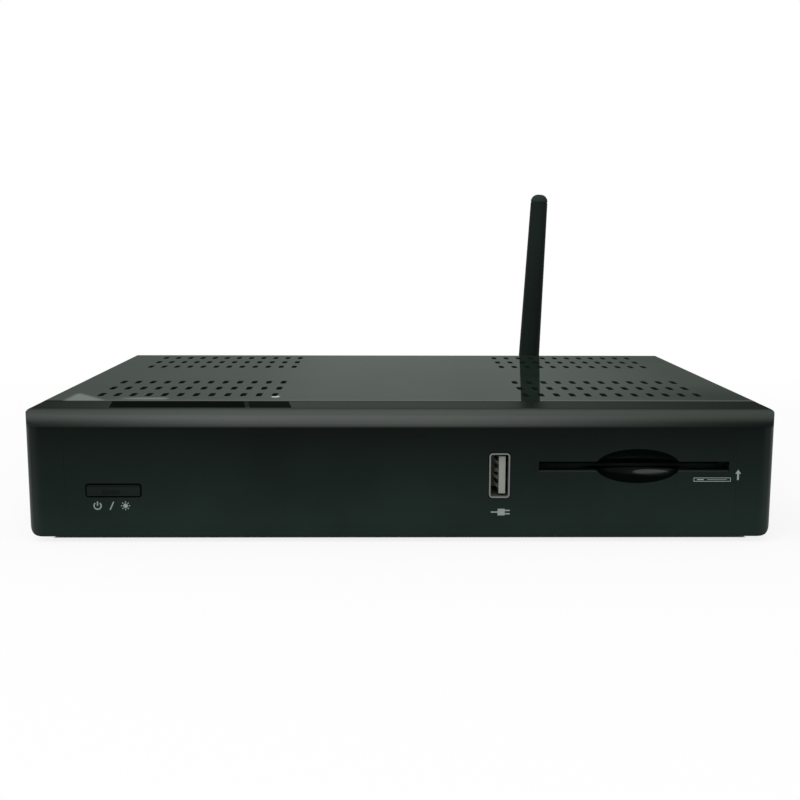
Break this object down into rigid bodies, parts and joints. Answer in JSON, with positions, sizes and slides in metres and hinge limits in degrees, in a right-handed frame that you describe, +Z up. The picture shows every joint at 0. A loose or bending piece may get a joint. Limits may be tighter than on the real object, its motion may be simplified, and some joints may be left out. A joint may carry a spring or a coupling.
{
  "type": "satellite tv receiver",
  "caption": "Low black steel set-top box with a moulded front, card slot with thumb scoop, upright USB socket, standby button, vent slots and a folding rear antenna.",
  "frame": {"origin": "on the resting surface, under the middle of the whole outline with the antenna knuckle", "axes": "+X to the right seen from the front, +Y to the back, +Z up"},
  "size_m": [0.22, 0.171, 0.1072],
  "materials": {
    "case_steel": "gloss black powder coat",
    "tray_steel": "satin black paint",
    "bezel_plastic": "moulded black, fine gloss",
    "fascia_acrylic": "black acrylic panel",
    "smoked_lens": "smoked",
    "antenna_rubber": "satin black",
    "foot_rubber": "matt",
    "bright_steel": "nickel plated",
    "tin_plate": "tin plate",
    "gold_plate": "gold plated",
    "dark_plate": "black nickel",
    "standoff_brass": "turned",
    "sink_aluminium": "extruded",
    "board_green": "solder mask",
    "chip_black": "moulded epoxy",
    "sleeve_black": "heat-shrink sleeve",
    "white_plastic": "white, matt",
    "ribbon_white": "flat cable",
    "lead_red": "wire",
    "led_green": "lamp",
    "insert_red": "gloss",
    "insert_white": "gloss",
    "insert_yellow": "gloss",
    "insert_orange": "gloss"
  },
  "bodies": {
    "case": {"antenna_coupling_nut": "dark_plate", "antenna_pigtail": "sleeve_black", "antenna_socket": "gold_plate", "antenna_socket_nut": "gold_plate", "board_screws": "bright_steel", "board_standoffs": "standoff_brass", "capacitors": "sleeve_black", "card_reader_board": "board_green", "card_reader_body": "chip_black", "card_reader_contacts": "gold_plate", "card_reader_cover": "bright_steel", "card_reader_pillars": "standoff_brass", "case_screws": "bright_steel", "chassis_tray": "tray_steel", "dc_jack": "chip_black", "dc_jack_pin": "bright_steel", "front_bezel": "bezel_plastic", "front_board": "board_green", "front_fascia": "fascia_acrylic", "hdmi_shell": "bright_steel", "hdmi_tongue": "chip_black", "heat_sink": "sink_aluminium", "inductors": "tin_plate", "infrared_receiver": "smoked_lens", "label_strip": "fascia_acrylic", "main_board": "board_green", "memory_chips": "chip_black", "network_contacts": "gold_plate", "network_socket": "chip_black", "phono_block": "chip_black", "phono_insert_orange": "insert_orange", "phono_insert_red": "insert_red", "phono_insert_white": "insert_white", "phono_insert_yellow": "insert_yellow", "phono_rings": "bright_steel", "processor": "chip_black", "ribbon_cable": "ribbon_white", "ribbon_headers": "white_plastic", "rubber_feet": "foot_rubber", "status_led": "led_green", "switch_frame": "chip_black", "switch_leads": "lead_red", "switch_terminals": "bright_steel", "tact_switch_body": "chip_black", "top_cover": "case_steel", "tuner_can": "tin_plate", "tuner_insulators": "white_plastic", "tuner_sockets": "bright_steel", "usb_contacts": "gold_plate", "usb_shell": "bright_steel", "usb_tongue": "white_plastic", "wifi_module": "board_green", "wifi_shield": "tin_plate"},
    "button": {"standby_button": "bezel_plastic", "button_lens": "smoked_lens"},
    "switch_plunger": {"tact_switch_plunger": "white_plastic"},
    "rocker": {"switch_rocker": "chip_black"},
    "antenna_knuckle": {"antenna_base": "antenna_rubber", "antenna_hinge_pin": "bright_steel"},
    "antenna_arm": {"antenna_whip": "antenna_rubber"}
  },
  "joints": [
    {"name": "button_push", "type": "slide", "parent": "case", "child": "button", "axis": [0, 1, 0], "range_m": [0, 0.0005], "stiffness_N_per_m": 3000},
    {"name": "plunger_press", "type": "slide", "parent": "case", "child": "switch_plunger", "axis": [0, 1, 0], "range_m": [0, 0.0005]},
    {"name": "power_rock", "type": "hinge", "parent": "case", "child": "rocker", "pos_m": [0.078, 0.05995, 0.022], "axis": [0, 0, -1], "range_deg": [0, 20]},
    {"name": "antenna_swivel", "type": "hinge", "parent": "case", "child": "antenna_knuckle", "pos_m": [0.0576, 0.08085, 0.025], "axis": [0, 1, 0], "range_deg": [-92.65, 87.35]},
    {"name": "antenna_tilt", "type": "hinge", "parent": "antenna_knuckle", "child": "antenna_arm", "pos_m": [0.0576, 0.08085, 0.025], "axis": [-0.9989, 0, 0.0462], "range_deg": [0, 90]}
  ],
  "couplings": [
    {"joint": "plunger_press", "follows": "button_push", "ratio": 1}
  ]
}
